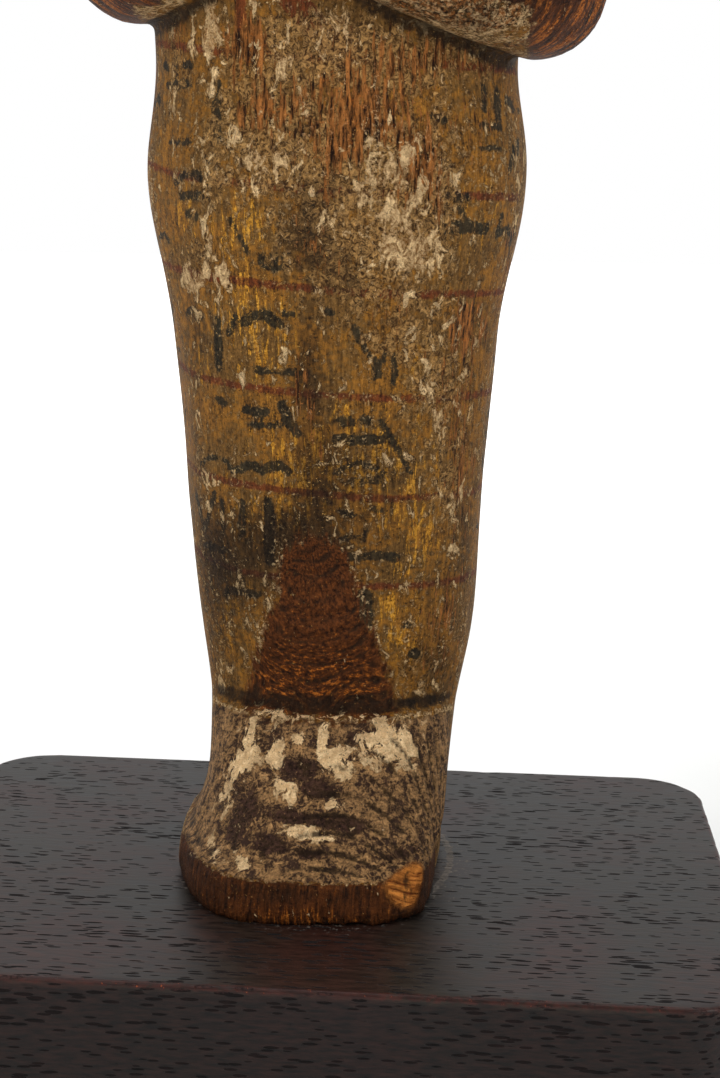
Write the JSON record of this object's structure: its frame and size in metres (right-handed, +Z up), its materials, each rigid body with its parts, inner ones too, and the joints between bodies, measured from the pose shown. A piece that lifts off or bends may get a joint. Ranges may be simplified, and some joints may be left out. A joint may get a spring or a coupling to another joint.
{
  "type": "ushabti figurine",
  "caption": "Mummy-shaped painted wooden funerary figurine with crossed arms and a tripartite wig, worn and flaking, on a dark stained timber plinth.",
  "frame": {"origin": "middle of the plinth's underside, on the surface that the object stands on", "axes": "+Z up from the underside to the crown, -Y the way the figure faces, +X towards the figure's left side, a viewer's right"},
  "size_m": [0.12, 0.089, 0.228],
  "materials": {
    "painted_wood": "worn ochre paint over thin gesso on carved wood, satin to matt, flaking",
    "stained_timber": "dark stained open-pored timber, satin"
  },
  "bodies": {
    "root": {"figure": "painted_wood", "plinth": "stained_timber"}
  },
  "joints": []
}
